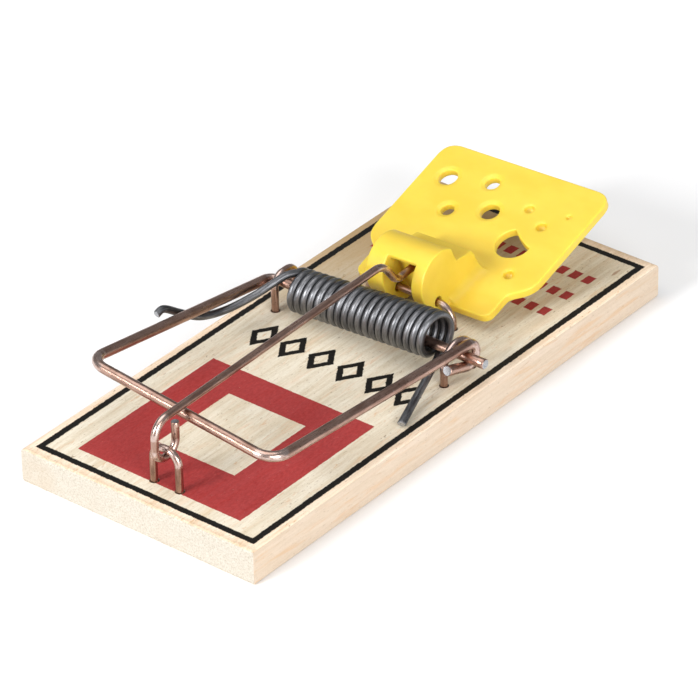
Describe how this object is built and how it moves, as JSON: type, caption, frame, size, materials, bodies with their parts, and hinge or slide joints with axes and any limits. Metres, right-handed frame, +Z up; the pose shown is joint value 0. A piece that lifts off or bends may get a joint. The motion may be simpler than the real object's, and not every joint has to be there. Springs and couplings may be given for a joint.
{
  "type": "snap mouse trap",
  "caption": "Wooden snap mouse trap, set, with a coil-sprung wire hammer, a hold-down bar, and a plastic bait pedal with a catch.",
  "frame": {"origin": "centre of the board's underside", "axes": "+Y along the board from the hold-down end to the pedal end, +X across it to the side where the hammer's axle ends in a hook, +Z up"},
  "size_m": [0.0448, 0.0984, 0.0192],
  "materials": {
    "wood": "unfinished pale wood with a printed border",
    "coppered_wire": "copper-washed drawn steel wire",
    "spring_steel": "dark oiled spring steel",
    "yellow_plastic": "semi-gloss moulded yellow plastic"
  },
  "bodies": {
    "base": {"base_board": "wood", "spring_staple_left": "coppered_wire", "spring_staple_right": "coppered_wire", "pedal_staple": "coppered_wire", "hold_down_staple": "coppered_wire", "spring_coil": "spring_steel"},
    "hammer": {"hammer_bow": "coppered_wire", "spring_hammer_leg": "spring_steel"},
    "hold_down": {"hold_down_bar": "coppered_wire"},
    "pedal": {"pedal": "yellow_plastic"}
  },
  "joints": [
    {"name": "hammer_swing", "type": "hinge", "parent": "base", "child": "hammer", "pos_m": [0, 0.0048, 0.0102], "axis": [-1, 0, 0], "range_deg": [0, 174.5]},
    {"name": "hold_down_swing", "type": "hinge", "parent": "base", "child": "hold_down", "pos_m": [0.0013, -0.0436, 0.0122], "axis": [1, 0, 0], "range_deg": [0, 170]},
    {"name": "pedal_tilt", "type": "hinge", "parent": "base", "child": "pedal", "pos_m": [0, 0.0153, 0.0095], "axis": [-0.9809, 0.192, 0.0308], "range_deg": [0, 18.5]}
  ]
}
